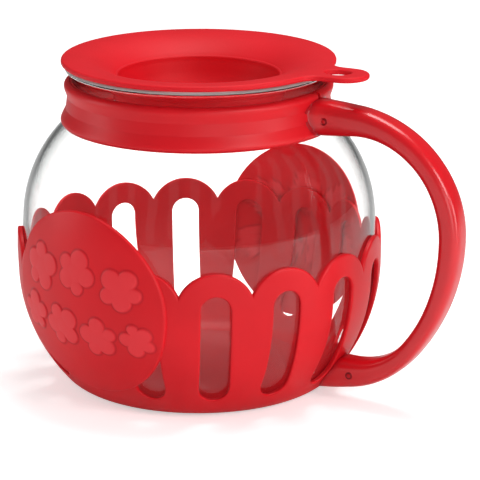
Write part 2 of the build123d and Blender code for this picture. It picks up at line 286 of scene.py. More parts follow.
def mouldedFinish():
    # Shared look of moulded red parts: soft cloudy colour, fine grain, faint dust.
    inputs = [(name, "NodeSocketColor", (0.5, 0.01, 0.02, 1))
              for name in ("Base", "Deep", "Shade Color", "Rub Color")]
    inputs += [(name, "NodeSocketFloat", 0.0) for name in (
        "Grain Scale", "Cloud Scale", "Roughness", "Roughness Spread", "Shade", "Rub")]
    group, given, result = makeGroup(
        "mouldedFinish", inputs, [("Color", "NodeSocketColor"), ("Roughness", "NodeSocketFloat"),
                                  ("Height", "NodeSocketFloat")])
    place = addNode(group, "TexCoord").outputs["Object"]
    cloud = addNode(group, "TexNoise", {"Vector": place, "Scale": given.outputs["Cloud Scale"]},
                    {"Detail": 3.0})
    grain = addNode(group, "TexNoise", {"Vector": place, "Scale": given.outputs["Grain Scale"]},
                    {"Detail": 2.0})
    spread = addNode(group, "MapRange", {"Value": cloud.outputs["Fac"]},
                     {"From Min": 0.35, "From Max": 0.65})
    # speckle = 0.9 grain + cloud - 0.45
    lower = addNode(group, "Math", {0: spread.outputs["Result"]}, {1: 0.45},
                    operation="SUBTRACT")
    speckle = addNode(group, "Math", {0: grain.outputs["Fac"], 2: lower.outputs["Value"]},
                      {1: 0.9}, operation="MULTIPLY_ADD", use_clamp=True)
    colour = mixColour(group, speckle.outputs["Value"], given.outputs["Base"],
                       given.outputs["Deep"])
    # painted light and painted shade laid over the colour by masks that the pieces carry
    for mask in ("Rub", "Shade"):
        colour = mixColour(group, given.outputs[mask], colour, given.outputs[mask + " Color"])
    rough = addNode(group, "Math", {0: grain.outputs["Fac"],
                                    1: given.outputs["Roughness Spread"],
                                    2: given.outputs["Roughness"]}, operation="MULTIPLY_ADD")
    linkInputs(group, result, {"Color": colour, "Roughness": rough.outputs["Value"],
                               "Height": grain.outputs["Fac"]})
    return group


finishGroup = mouldedFinish()


def mouldedMaterial(name, look):
    # A moulded part: the shared finish into a Principled shader and a bump.
    material, tree, shader = blankMaterial(name)
    finish = addNode(tree, "Group", node_tree=finishGroup)
    setInputs(finish, {"Base": (*look["base"], 1), "Deep": (*look["deep"], 1),
                       "Grain Scale": look["grainScale"], "Cloud Scale": look["cloudScale"],
                       "Roughness": look["roughness"],
                       "Roughness Spread": look["roughnessSpread"]})
    for attribute, mask in (("shade", "Shade"), ("paintedLight", "Rub")):
        if attribute in look:
            # a mask that the piece's own mesh carries: painted shade or painted light
            reader = addNode(tree, "Attribute", attribute_name=attribute)
            strength = addNode(tree, "Math", {0: reader.outputs["Fac"]}, {1: look[attribute]},
                               operation="MULTIPLY")
            linkInputs(tree, finish, {mask: strength.outputs["Value"]})
            setInputs(finish, {mask + " Color": (*look[attribute + "Color"], 1)})
    bump = addNode(tree, "Bump", {"Height": finish.outputs["Height"]},
                   {"Strength": look["bump"], "Distance": look["bumpDistance"]})
    linkInputs(tree, shader, {"Base Color": finish.outputs["Color"],
                              "Roughness": finish.outputs["Roughness"],
                              "Normal": bump.outputs["Normal"]})
    setInputs(shader, {"IOR": look["ior"], "Specular IOR Level": look["specular"],
                       "Subsurface Weight": look["subsurface"],
                       "Subsurface Radius": (1.0, 0.12, 0.1), "Subsurface Scale": 0.003,
                       "Coat Weight": look["coat"], "Coat Roughness": look["coatRoughness"]})
    return material


siliconeLook = {
    "base": (0.72, 0.005, 0.014), "deep": (0.66, 0.004, 0.011),
    "grainScale": 1600.0, "cloudScale": 22.0,
    "roughness": 0.50, "roughnessSpread": 0.12,
    "bump": 0.12, "bumpDistance": 0.00008, "ior": 1.43, "specular": 0.32,
    "subsurface": 0.05, "coat": 0.0, "coatRoughness": 0.1,
}
cageLook = dict(siliconeLook, base=(0.70, 0.004, 0.011), deep=(0.63, 0.003, 0.009),
                grainScale=2400.0, cloudScale=26.0, roughness=0.36, roughnessSpread=0.10,
                bump=0.10, bumpDistance=0.00006, ior=1.49, specular=0.29)
# the grip carries painted shade where it tucks in against the collar and the basket
handleLook = dict(cageLook, roughness=0.26, roughnessSpread=0.08, bump=0.07, specular=0.5,
                  coat=0.4, coatRoughness=0.14, shade=0.7, shadeColor=(0.26, 0.0, 0.006))
collarLook = dict(cageLook, roughness=0.40, roughnessSpread=0.06, bump=0.06, specular=0.34)
# the badge carries painted shade round the kernels' foot and painted light on their tops
badgeLook = dict(cageLook, roughness=0.40, bump=0.12, shade=0.5, shadeColor=(0.36, 0.0, 0.008),
                 paintedLight=0.8, paintedLightColor=(0.78, 0.035, 0.045))
# the pins carry painted shade in their groove and round their rim
pinLook = dict(cageLook, base=(0.56, 0.006, 0.012), deep=(0.48, 0.004, 0.009), roughness=0.3,
               shade=0.9, shadeColor=(0.10, 0.0, 0.003))

siliconeRed = mouldedMaterial("siliconeRed", siliconeLook)
cageRed = mouldedMaterial("cageRed", cageLook)
collarRed = mouldedMaterial("collarRed", collarLook)
handleRed = mouldedMaterial("handleRed", handleLook)
badgeRed = mouldedMaterial("badgeRed", badgeLook)
pinRed = mouldedMaterial("pinRed", pinLook)

glassLook = {
    "edgeStart": 0.58, "edgeColour": (0.78, 0.83, 0.82, 1), "colour": (0.985, 0.995, 0.990, 1),
    "shadowColour": (0.97, 0.985, 0.98, 1), "ior": 1.45, "specular": 0.14,
    "smearScale": 18.0, "smearFrom": 0.5, "smearTo": 0.8, "smear": 0.03,
    "waveScale": 30.0, "wave": 0.05, "waveDistance": 0.0004,
}


def glassMaterial():
    # Clear glass that lets light through to the inside: light and shadow rays pass
    # straight, the eye sees refraction. Faint smears vary the roughness.
    material, tree, shader = blankMaterial("clearGlass")
    place = addNode(tree, "TexCoord").outputs["Object"]
    smear = addNode(tree, "TexNoise", {"Vector": place},
                    {"Scale": glassLook["smearScale"], "Detail": 4.0})
    rough = addNode(tree, "MapRange", {"Value": smear.outputs["Fac"]},
                    {"From Min": glassLook["smearFrom"], "From Max": glassLook["smearTo"],
                     "To Max": glassLook["smear"]})
    wave = addNode(tree, "TexNoise", {"Vector": place},
                   {"Scale": glassLook["waveScale"], "Detail": 0.0})
    bump = addNode(tree, "Bump", {"Height": wave.outputs["Fac"]},
                   {"Strength": glassLook["wave"], "Distance": glassLook["waveDistance"]})
    edge = addNode(tree, "LayerWeight", values={"Blend": 0.5})
    rim = addNode(tree, "MapRange", {"Value": edge.outputs["Facing"]},
                  {"From Min": glassLook["edgeStart"]}, interpolation_type="SMOOTHSTEP")
    tint = mixColour(tree, rim.outputs["Result"], glassLook["colour"], glassLook["edgeColour"])
    setInputs(shader, {"Transmission Weight": 1.0, "IOR": glassLook["ior"],
                       "Specular IOR Level": glassLook["specular"]})
    linkInputs(tree, shader, {"Base Color": tint, "Roughness": rough.outputs["Result"],
                              "Normal": bump.outputs["Normal"]})
    clear = addNode(tree, "BsdfTransparent", values={"Color": glassLook["shadowColour"]})
    path = addNode(tree, "LightPath")
    either = addNode(tree, "Math", {0: path.outputs["Is Shadow Ray"],
                                    1: path.outputs["Is Diffuse Ray"]}, operation="MAXIMUM")
    whole = mixShaders(tree, either.outputs["Value"], shader.outputs["BSDF"],
                       clear.outputs["BSDF"])
    linkInputs(tree, tree.nodes["Material Output"], {"Surface": whole})
    return material


clearGlass = glassMaterial()
print("materials made")

# glass jug
jug = {"segments": 224, "floorSteps": 12, "neckSteps": 10, "flareSteps": 12, "beadSteps": 20,
       "beadSpread": 22.0, "lipLine": 0.1673, "lipClear": 0.35, "lipSpots": 90.0,
       "lipRoughness": (0.08, 0.22)}


def neckPoints(shift):
    # The neck from the shoulder up: fillet arc, straight wall and flare, moved inwards by shift.
    flareCentre = (body["neckRadius"] + body["flareRadius"], body["neckTop"])
    radius = body["neckRadius"] - shift
    fillet = arcPoints(centres["fillet"], body["neckFillet"] + shift,
                       180 + centres["shoulderAngle"], 180, jug["neckSteps"])
    wall = linePoints((radius, centres["fillet"][1]), (radius, body["neckTop"]), jug["neckSteps"])
    flare = arcPoints(flareCentre, body["flareRadius"] + shift, 180,
                      180 - body["flareAngle"], jug["flareSteps"])
    return np.concatenate([fillet[1:], wall[1:], flare[1:]])


def makeJug():
    # Closed wall turned about Z: outer outline up, round bead at the lip, inner outline down.
    flareCentre = np.array([body["neckRadius"] + body["flareRadius"], body["neckTop"]])
    middle = body["flareRadius"] + body["glassWall"] / 2
    lip = flareCentre + middle * unit(180 - body["flareAngle"])
    start = -body["flareAngle"] - jug["beadSpread"]
    bead = arcPoints(lip, body["lipBead"], start, start + 180 + 2 * jug["beadSpread"],
                     jug["beadSteps"])
    outer = bodyOutline(centres["glass"])
    inner = bodyOutline(centres["glass"] - body["glassWall"])
    floorOut = linePoints((0, outer[0, 1]), outer[0], jug["floorSteps"])
    floorIn = linePoints((0, inner[0, 1]), inner[0], jug["floorSteps"])
    profile = np.concatenate([
        floorOut[:-1], outer, neckPoints(0)[:-1], bead,
        neckPoints(body["glassWall"])[:-1][::-1], inner[::-1], floorIn[:-1][::-1]])
    return gridObject("glassJug", revolved(profile, jug["segments"]), sharp=80)


def lipMaterial():
    # The rim made whitish and partly clear: a painted highlight for the light the lip catches.
    material, tree, shader = blankMaterial("paintedLipHighlight")
    place = addNode(tree, "TexCoord").outputs["Object"]
    cloud = addNode(tree, "TexNoise", {"Vector": place}, {"Scale": jug["lipSpots"]})
    colour = mixColour(tree, cloud.outputs["Fac"], (0.97, 1.0, 0.99, 1), (0.88, 0.97, 0.95, 1))
    rough = addNode(tree, "MapRange", {"Value": cloud.outputs["Fac"]},
                    {"To Min": jug["lipRoughness"][0], "To Max": jug["lipRoughness"][1]})
    setInputs(shader, {"Transmission Weight": jug["lipClear"], "IOR": glassLook["ior"]})
    linkInputs(tree, shader, {"Base Color": colour, "Roughness": rough.outputs["Result"]})
    return material


def finishJug():
    # Clear glass below, the whitish rim with its painted highlight above the lip line.
    piece = makeJug()
    finishPiece(piece, "jug", "clear_glass", clearGlass, "glass_jug")
    piece.data.materials.append(lipMaterial())
    centre = np.empty(len(piece.data.polygons) * 3)
    piece.data.polygons.foreach_get("center", centre)
    # faces above the lip line take the painted highlight
    highlightFaces = (centre.reshape(-1, 3)[:, 2] > jug["lipLine"]).astype(np.int32)
    piece.data.polygons.foreach_set("material_index", highlightFaces)


finishJug()
print("jug made")

# handle
handle = {
    "start": 0.062, "height": 0.1482, "topRun": 0.027,
    "upperBend": 0.0545, "longBend": 0.097, "longAngle": 38.5,
    "lowerBend": 0.0463, "lowerAngle": 46.5, "rootRun": 0.021,
    "width": 0.0154, "saddleWidth": 0.0236, "saddleRun": 0.015,
    "corner": 3.1, "cornerPoints": 0.10,  # section's power, and how far points crowd its corners
    "saddlePower": 1.6, "topShare": 0.12, "lowShare": 0.85,
    "gap": 0.00025, "stations": 260, "around": 72, "seamShadeWidth": 0.0045,
    # share of the length, thickness
    "depths": ((0.0, 0.0184), (0.045, 0.0180), (0.08, 0.0169), (0.125, 0.0149), (0.19, 0.0128),
               (0.3, 0.01158), (0.41, 0.01178), (0.5, 0.0115), (0.6, 0.0105), (0.7, 0.0095),
               (0.785, 0.0099), (0.85, 0.0123), (0.91, 0.0153), (0.95, 0.0169), (1.0, 0.0176)),
}
# the collar's dictionary stands here because the handle sits on the collar's outline
collar = {
    "top": (0.0666, 0.1605), "bottom": 0.1382, "gap": 0.0002, "segments": 256,
    "opening": 1.0, "softening": 60,
    "outline": ((0.0680, 0.1602), (0.0690, 0.1594), (0.0695, 0.1581), (0.0692, 0.1566),
                (0.0683, 0.1544), (0.0676, 0.1520), (0.0675, 0.1498), (0.0681, 0.1474),
                (0.0692, 0.1450), (0.0704, 0.1427), (0.0713, 0.1408), (0.0715, 0.1395)),
}


def smoothCurve(points, count):
    # A smooth curve through points: centripetal Catmull-Rom spans, evenly divided.
    p = np.asarray(points, float)
    p = np.concatenate([2 * p[:1] - p[1:2], p, 2 * p[-1:] - p[-2:-1]])
    knots = np.concatenate([[0], np.cumsum(np.linalg.norm(np.diff(p, axis=0), axis=1) ** 0.5)])
    t = np.linspace(knots[1], knots[-2] - 1e-9, count)
    span = np.clip(np.searchsorted(knots, t, "right") - 1, 1, len(p) - 3)
    k = [knots[span + i][:, None] for i in (-1, 0, 1, 2)]
    q = [p[span + i] for i in (-1, 0, 1, 2)]
    t = t[:, None]
    a = [((k[i + 1] - t) * q[i] + (t - k[i]) * q[i + 1]) / (k[i + 1] - k[i]) for i in range(3)]
    b = [((k[i + 2] - t) * a[i] + (t - k[i]) * a[i + 1]) / (k[i + 2] - k[i]) for i in range(2)]
    return ((k[2] - t) * b[0] + (t - k[1]) * b[1]) / (k[2] - k[1])


seatRadius = body["shoulderRadius"] + centres["glass"] + collar["gap"]
seatAngle = np.degrees(np.arcsin((collar["bottom"] - centres["shoulder"][1]) / seatRadius))
seatPoint = arcPoints(centres["shoulder"], seatRadius, seatAngle, seatAngle, 1)[0]
collarOutline = smoothCurve([collar["top"], *collar["outline"], seatPoint], 120)
for _ in range(collar["softening"]):
    # each inner point moves to the middle of its neighbours, so no bend shows as a band
    collarOutline[1:-1] = (collarOutline[:-2] + collarOutline[2:]) / 4 + collarOutline[1:-1] / 2


def collarRadius(height):
    # Radius of the collar's outside at a height.
    order = np.argsort(collarOutline[:, 1])
    return np.interp(height, collarOutline[order, 1], collarOutline[order, 0])


def gripWidth(run):
    # The grip's width at a length along it: a saddle at the collar runs out into the grip.
    saddle = np.clip(1 - run / handle["saddleRun"], 0, 1) ** handle["saddlePower"]
    return handle["width"] + (handle["saddleWidth"] - handle["width"]) * saddle


def spineOf(share):
    # Position and direction (x, z) along the handle's middle line: level run, three arcs
    # that turn downwards, and a short run back to the basket.
    bends = [(handle["upperBend"], 90.0), (handle["longBend"], handle["longAngle"]),
             (handle["lowerBend"], handle["lowerAngle"])]
    point = np.array([handle["start"], handle["height"]])
    heading = 0.0
    pieces = [(handle["topRun"], point, heading, 0.0)]
    point = point + handle["topRun"] * np.array([1.0, 0.0])
    for radius, turn in bends:
        pieces.append((radius * np.radians(turn), point, heading, radius))
        a, b = np.radians(heading), np.radians(heading - turn)
        point = point + radius * np.array([np.sin(a) - np.sin(b), np.cos(b) - np.cos(a)])
        heading -= turn
    pieces.append((handle["rootRun"], point, heading, 0.0))
    lengths = np.cumsum([0] + [piece[0] for piece in pieces])
    distance = np.asarray(share) * lengths[-1]
    place, along = np.zeros((len(distance), 2)), np.zeros((len(distance), 2))
    for i, (length, begin, angle, radius) in enumerate(pieces):
        inside = (distance >= lengths[i]) & (distance <= lengths[i + 1])
        run = distance[inside] - lengths[i]
        start = np.radians(angle)
        now = start - (run / radius if radius else 0 * run)
        if radius:
            shift = radius * np.stack([np.sin(start) - np.sin(now),
                                       np.cos(now) - np.cos(start)], -1)
        else:
            shift = run[:, None] * np.array([np.cos(start), np.sin(start)])
        place[inside] = begin + shift
        along[inside] = np.stack([np.cos(now), np.sin(now)], -1)
    return place, along, lengths[-1]


def sectionPoints(width, depth, power, around):
    # Rounded box section |a|^power + |b|^power = 1, as (across, outwards) pairs.
    turn = np.linspace(0, 2 * np.pi, around, endpoint=False)
    turn = turn - handle["cornerPoints"] * np.sin(4 * turn)
    c, s = np.cos(turn), np.sin(turn)
    shape = np.stack([np.sign(c) * np.abs(c) ** (2 / power),
                      np.sign(s) * np.abs(s) ** (2 / power)], -1)
    return shape * np.stack([width / 2, depth / 2], -1)[:, None, :]


def makeHandle():
    # A rounded section carried along the spine. Its first rings lie on the collar and its
    # last ones on the basket: there x = sqrt(R(z)^2 - y^2), R being that part's radius.
    share = np.linspace(0, 1, handle["stations"])
    place, along, length = spineOf(share)
    depth = smoothCurve(handle["depths"], 400)
    depth = np.interp(share, depth[:, 0], depth[:, 1])
    section = sectionPoints(gripWidth(share * length), depth, handle["corner"], handle["around"])
    outward = np.stack([-along[:, 1], along[:, 0]], -1)
    across, out = section[..., 0], section[..., 1]
    x = place[:, :1] + out * outward[:, :1]
    z = place[:, 1:] + out * outward[:, 1:]
    grid = np.stack([x, across, z], -1)
    collarSeat = collarRadius(grid[..., 2]) + handle["gap"]
    seat = np.sqrt(np.maximum(collarSeat ** 2 - across ** 2, 0))
    top = share < handle["topShare"]
    grid[top, :, 0] = np.maximum(grid[top, :, 0], seat[top])
    basketRadius = bodyRadius(grid[..., 2], 0) + handle["gap"]
    root = np.sqrt(np.maximum(basketRadius ** 2 - across ** 2, 0))
    low = share > handle["lowShare"]
    grid[low, :, 0] = np.maximum(grid[low, :, 0], root[low])
    # leave out the rings that fell together against the seat
    keep = np.ones(len(share), bool)
    same = np.abs(np.diff(grid[..., 0], axis=0)).max(1) < 1e-6
    keep[:-1][same & top[:-1]] = False
    keep[1:][same & low[1:]] = False
    grid = grid[keep]
    middleTop = grid[:1].mean(1, keepdims=True) + 0 * grid[:1]
    middleLow = grid[-1:].mean(1, keepdims=True) + 0 * grid[-1:]
    grid = np.concatenate([middleTop, grid, middleLow])
    return gridObject("handleGrip", grid, sharp=50)


def finishHandle():
    # Painted shade, darker where the grip tucks in against the collar and the basket: mask = (1 -
    # gap / shade width)^1.4.
    piece = makeHandle()
    x, y, z = pointsOf(piece).T
    upper = (np.hypot(x, y) - collarRadius(z)) / handle["seamShadeWidth"]
    lower = (np.hypot(x, y) - bodyRadius(z, 0)) / (handle["seamShadeWidth"] * 0.7)
    seamShade = 1 - np.where(z > body["sideTop"], upper, lower)
    paintMask(piece, "shade", np.clip(seamShade, 0, 1) ** 1.4)
    finishPiece(piece, "jug", "red_gloss_plastic", handleRed, "handle")


finishHandle()
print("handle made")

# neck collar
def makeCollar():
    # The collar's closed section carried round Z from one side of its split to the other.
    neckOut = body["neckRadius"] + collar["gap"]
    inner = np.concatenate([
        linePoints(collar["top"], (neckOut, collar["top"][1]), 4)[1:],
        linePoints((neckOut, collar["top"][1]), (neckOut, centres["fillet"][1]), 8)[1:],
        arcPoints(centres["fillet"], body["neckFillet"] - collar["gap"], 180,
                  180 + centres["shoulderAngle"], 10)[1:],
        arcPoints(centres["shoulder"], seatRadius, centres["shoulderAngle"], seatAngle, 10)[1:-1],
    ])
    profile = np.concatenate([collarOutline, inner])
    half = collar["opening"]
    turn = np.radians(np.linspace(half, 360 - half, collar["segments"]))
    rings = turnedRings(profile, turn).transpose(1, 0, 2)
    ends = [rings[k].mean(0) + 0 * rings[k] for k in (0, -1)]
    rings = np.concatenate([ends[0][None], rings, ends[1][None]])
    return gridObject("neckCollar", rings, sharp=50)


finishPiece(makeCollar(), "jug", "red_satin_plastic", collarRed, "neck_collar")
print("collar made")

# badges
badge = {
    "radius": 0.048, "height": 0.061, "angles": (78.75, -101.25), "back": 0.0001,
    "thickness": 0.0016, "relief": 0.00078, "edge": 0.0007, "rings": 130, "around": 400,
    # raised popped kernels: across, up, size, turn
    "flakes": ((-25, 16, 12.6, 10), (1, 18, 12.0, 62), (27, 13, 11.6, 128),
               (-32, -9, 10.4, 84), (-10, -12, 11.6, 33), (13, -14, 10.8, 164),
               (34, -13, 9.0, 250)),
    # lobes of one kernel: direction, reach, radius; the first is its heart
    "lobes": ((0, 0, 0.5), (8, 0.56, 0.48), (82, 0.64, 0.38), (150, 0.54, 0.46),
              (214, 0.66, 0.34), (286, 0.56, 0.44)),
    "foot": 0.0006, "dome": 0.45, "paintedLightFade": 0.0007, "lineAt": -0.0002, "lineWidth": 0.0005,
}


def kernelLobes(across, up):
    # For each lobe of each kernel: its radius, and every point's distance from its middle.
    for x, y, size, turn in badge["flakes"]:
        for direction, reach, radius in badge["lobes"]:
            middle = (np.array([x, y]) + size * reach * unit(direction + turn)) * 1e-3
            yield radius * size * 1e-3, np.hypot(across - middle[0], up - middle[1])


def kernelHeight(across, up):
    # Relief of the popped kernels, 0 to 1: each lobe is a low dome with a steep foot s,
    # h = s (0.55 + 0.45 sqrt(1 - (d/r)^2)), and the highest lobe counts.
    total = np.zeros_like(across)
    for radius, distance in kernelLobes(across, up):
        foot = np.clip((radius - distance) / badge["foot"], 0, 1)
        foot = foot * foot * (3 - 2 * foot)
        dome = np.sqrt(np.clip(1 - (distance / radius) ** 2, 0, 1))
        total = np.maximum(total, foot * (1 - badge["dome"] + badge["dome"] * dome))
    return total


def kernelInside(across, up):
    # How far a point lies inside the outline of the kernels, negative outside.
    inside = np.full_like(across, -1.0)
    for radius, distance in kernelLobes(across, up):
        inside = np.maximum(inside, radius - distance)
    return inside


def standUp(across, height, out, angle):
    # A point `out` from the axis and `across` beside it, turned to an angle about Z.
    a = np.radians(angle)
    return np.stack([out * np.cos(a) - across * np.sin(a), out * np.sin(a) + across * np.cos(a),
                     height], -1)


def makeBadge(name, angle):
    # A disc bent to the body. A point (across, up) of its face stands on the body's surface
    # at a radial offset: x = sqrt((R(z) + offset)^2 - across^2). Front, rounded edge, back.
    face = badge["back"] + badge["thickness"]
    edge, radius = badge["edge"], badge["radius"]
    front = np.linspace(0, radius - edge, badge["rings"])
    turn = np.radians(np.linspace(0, 90, 6))[1:]
    reach = np.concatenate([front, radius - edge + edge * np.sin(turn), [radius],
                            np.linspace(radius, 0, 16)])
    offset = np.concatenate([np.full(len(front), face), face - edge + edge * np.cos(turn),
                             [badge["back"]], np.full(16, badge["back"])])
    around = np.linspace(0, 2 * np.pi, badge["around"], endpoint=False)
    across = reach[:, None] * np.cos(around)
    up = reach[:, None] * np.sin(around)
    relief = kernelHeight(across, up) * badge["relief"]
    relief[len(front):] = 0
    height = badge["height"] + up
    lift = offset[:, None] + relief
    base = bodyRadius(height, 0.0)
    out = np.sqrt((base + lift) ** 2 - across ** 2)
    piece = gridObject(name, standUp(across, height, out, angle), sharp=60)
    x, y, z = pointsOf(piece).T
    a = np.radians(angle)
    inside = kernelInside(y * np.cos(a) - x * np.sin(a), z - badge["height"])
    # painted light makes the kernels paler on top, and painted shade darkens a line round their
    # foot
    paintMask(piece, "paintedLight", inside / badge["paintedLightFade"])
    line = (inside - badge["lineAt"]) / badge["lineWidth"]
    paintMask(piece, "shade", np.exp(-line ** 2))
    return piece


for name, node, angle in (("rearBadge", "rear_badge", badge["angles"][0]),
                          ("frontBadge", "front_badge", badge["angles"][1])):
    finishPiece(makeBadge(name, angle), "jug", "red_badge_plastic", badgeRed, node)
print("badges made")

# pins
pin = {"radius": 0.00155, "flange": 0.00205, "flangeDepth": 0.0006, "segments": 48,
       # share of the head's radius, height over the handle's side, painted shade
       "head": ((0.0, 0.00045, 0.0), (0.3, 0.00043, 0.0), (0.5, 0.00032, 0.1), (0.62, 0.0001, 0.9),
                (0.74, 0.00008, 1.0), (0.84, 0.00026, 0.5), (0.94, 0.0002, 0.5),
                (1.0, -0.0002, 1.0)),
       "places": (("upperPin", "upper_handle_pin"), ("lowerPin", "lower_handle_pin"))}


def handleSide(x, z):
    # Half the grip's width at a place on its side, from the nearest point of its middle line.
    share = np.linspace(0, 1, 400)
    place, _, length = spineOf(share)
    near = np.argmin(np.hypot(place[:, 0] - x, place[:, 1] - z))
    return gripWidth(share[near] * length) / 2


def makePin(name, node):
    # A profile turned about Y: rim, groove and low button at both ends of a plain shank, with
    # painted shade in the groove and where the rim meets the handle.
    low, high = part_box(node)
    middle = (low + high) / 2
    side = handleSide(middle.x, middle.z)
    head = np.array(pin["head"])
    cap = np.stack([head[:, 0] * pin["flange"], side + head[:, 1]], -1)
    shank = np.array([[pin["radius"], side - pin["flangeDepth"]]])
    profile = np.concatenate([cap, shank, shank * (1, -1), cap[::-1] * (1, -1)])
    turn = np.linspace(0, 2 * np.pi, pin["segments"], endpoint=False)
    grid = np.stack([middle.x + profile[:, :1] * np.cos(turn), profile[:, 1:] + 0 * turn,
                     middle.z + profile[:, :1] * np.sin(turn)], -1)
    piece = gridObject(name, grid, sharp=60)
    x, _, z = pointsOf(piece).T
    reach = np.hypot(x - middle.x, z - middle.z) / pin["flange"]
    # painted shade, read from the head table's last column
    paintMask(piece, "shade", np.interp(reach, head[:, 0], head[:, 2]))
    return piece


for name, node in pin["places"]:
    finishPiece(makePin(name, node), "jug", "red_pin_plastic", pinRed, node)
print("pins made")

# basket
basket = {
    "slots": 16, "slotWidth": 0.015, "slotLow": 0.0123, "slotHigh": 0.0717,
    "archRadius": 0.020, "archHeight": 0.0635, "archGuess": 22.0, "seamHeight": 0.008,
    "outerRound": 0.0009, "innerRound": 0.0004,
    "archSteps": 27, "sideSteps": 14, "baseSteps": 9, "ringSteps": 8, "roundSteps": 5,
    "floorSteps": 14,
}


def slotLoop(inset):
    # The slot's outline widened by inset, from its lowest point round to it again, (across, up).
    r = basket["slotWidth"] / 2 + inset
    low = basket["slotLow"] + basket["slotWidth"] / 2
    high = basket["slotHigh"] - basket["slotWidth"] / 2
    base, side, arch = basket["baseSteps"], basket["sideSteps"], basket["archSteps"]
    return np.concatenate([
        arcPoints((0, low), r, -90, 0, base // 2 + 1)[:-1],
        linePoints((r, low), (r, high), side)[:-1],
        arcPoints((0, high), r, 0, 180, arch)[:-1],
        linePoints((-r, high), (-r, low), side)[:-1],
        arcPoints((0, low), r, 180, 270, base // 2 + 1),
    ])


def archCurve(inset, offset, count):
    # The arch's circle less inset, from one sector edge to the other; an edge stands at
    # t = (R(z) + offset) sin(half pitch).
    r = basket["archRadius"] - inset
    half = np.pi / basket["slots"]
    angle = np.radians(basket["archGuess"])
    for _ in range(12):
        height = basket["archHeight"] + r * np.sin(angle)
        reach = bodyRadius(height, offset) * np.sin(half)
        angle = np.arccos(np.clip(reach / r, -1, 1))
    degrees = np.degrees(angle)
    return arcPoints((0, basket["archHeight"]), r, degrees, 180 - degrees, count)


def sectorLoop(inset, offset):
    # A sector's outline in step with slotLoop: base, side, arch, side, base.
    half = np.pi / basket["slots"]
    base, side, arch = basket["baseSteps"], basket["sideSteps"], basket["archSteps"]
    curve = archCurve(inset, offset, arch)
    low = basket["seamHeight"]
    lowRadius = bodyRadius(low, offset)
    turn = np.linspace(0, half, base // 2 + 1)
    right = np.stack([lowRadius * np.sin(turn), np.full_like(turn, low)], -1)
    height = np.linspace(low, curve[0, 1], side)
    edge = np.stack([bodyRadius(height, offset) * np.sin(half), height], -1)
    return np.concatenate([right[:-1], edge[:-1], curve[:-1], edge[::-1][:-1] * (-1, 1),
                           right[::-1] * (-1, 1)])


def onBody(flat, offset, angle):
    # Flat points (across, up) stood on the body at a radial offset and turned to angle:
    # x = sqrt((R(z) + offset)^2 - across^2), R measured along the surface's height.
    across, height = flat[..., 0], flat[..., 1]
    out = np.sqrt(np.maximum(bodyRadius(height, offset) ** 2 - across ** 2, 0))
    return standUp(across, height, out, angle)


def roundedEdge(steps):
    # (inset, offset) of a wall's edge: quarter round, straight, smaller quarter round.
    outer, inner, wall = basket["outerRound"], basket["innerRound"], body["wall"]
    turn = np.radians(np.linspace(0, 90, steps))
    first = np.stack([outer * (1 - np.sin(turn)), -outer * (1 - np.cos(turn))], -1)
    last = np.stack([inner * (1 - np.cos(turn)), -wall + inner * (1 - np.sin(turn))], -1)
    return np.concatenate([first, last])


def makeBasket():
    # Sixteen equal sectors: rings blended from the slot's outline to the sector's, outside and
    # inside, joined by rounded edges; below them a plain foot turned about Z.
    edge = roundedEdge(basket["roundSteps"])
    patches = []
    for angle in (np.arange(basket["slots"]) + 0.5) * 360 / basket["slots"]:
        for inset, offset in (edge[0], edge[-1]):
            ring = blended(slotLoop(inset), sectorLoop(inset, offset), basket["ringSteps"])
            patches.append(onBody(ring, offset, angle))
        patches.append(np.stack([onBody(slotLoop(i), o, angle) for i, o in edge]))
        patches.append(np.stack([onBody(archCurve(i, o, basket["archSteps"]), o, angle)
                                 for i, o in edge]))
    turns = basket["slots"] * (basket["baseSteps"] // 2) * 2
    for offset in (edge[0, 1], edge[-1, 1]):
        outline = bodyOutline(offset)
        low = basket["seamHeight"]
        foot = outline[outline[:, 1] < low - 1e-6]
        foot = np.concatenate([linePoints((0, foot[0, 1]), foot[0], basket["floorSteps"])[:-1],
                               foot, [[bodyRadius(low, offset), low]]])
        patches.append(closedRevolve(foot, turns))
    return patchObject("slottedBasket", patches, sharp=45)


finishPiece(makeBasket(), "jug", "red_satin_plastic", cageRed, "lower_basket")
print("basket made")

# lid
lid = {
    "top": 0.172, "thickness": 0.0029, "radius": 0.0707, "crest": 0.068, "bowlPower": 2.4,
    "wellRadius": 0.0419, "wellEdge": 0.1629, "floor": 0.1425, "corner": 0.016, "slope": 10.0,
    "floorRadius": 0.02488, "bead": 0.0009, "edge": 0.0012, "segments": 216, "joint": 0.0655,
    "tabAngle": 20.0, "tabCentre": 0.0834, "tabHalf": 0.0123, "tabFillet": 0.009,
    "hole": (0.007, 0.0063), "holeCentre": 0.0795, "holeEdge": 0.0008,
    "plug": ((0.0651, 0.1676), (0.0649, 0.1669), (0.0639, 0.1656), (0.0633, 0.1654),
             (0.0611, 0.1654), (0.0607, 0.1656)),
    "drips": 6, "dripCircle": 0.011, "dripRadius": 0.0012, "dripEdge": 0.0003,
    "dripZone": (0.005, 0.017), "blendSteps": 6,
    # where the skin meets the bead round the well, and where the underside meets the plug
    "beadStart": 0.0012, "beadOut": 0.0005, "beadDown": 0.0004, "beadFrom": 185, "beadTo": 72,
    "wallIn": 0.0003, "wallDown": 0.0016, "underEnd": 0.0600, "tail": (0.0602, 0.1681),
    "plugSide": 0.0651,
}


def bowlHeight(radius):
    # The funnel from the crest down to the well: top - drop * s^power, s = 1 at the well's edge.
    share = np.clip((lid["crest"] - radius) / (lid["crest"] - lid["wellRadius"]), 0, 1)
    return lid["top"] - (lid["top"] - lid["wellEdge"]) * share ** lid["bowlPower"]


def shiftedCurve(points, distance):
    # Each point moved to the right of the curve's direction by a distance.
    along = np.gradient(points, axis=0)
    along /= np.linalg.norm(along, axis=1, keepdims=True)
    return points + distance * np.stack([along[:, 1], -along[:, 0]], -1)


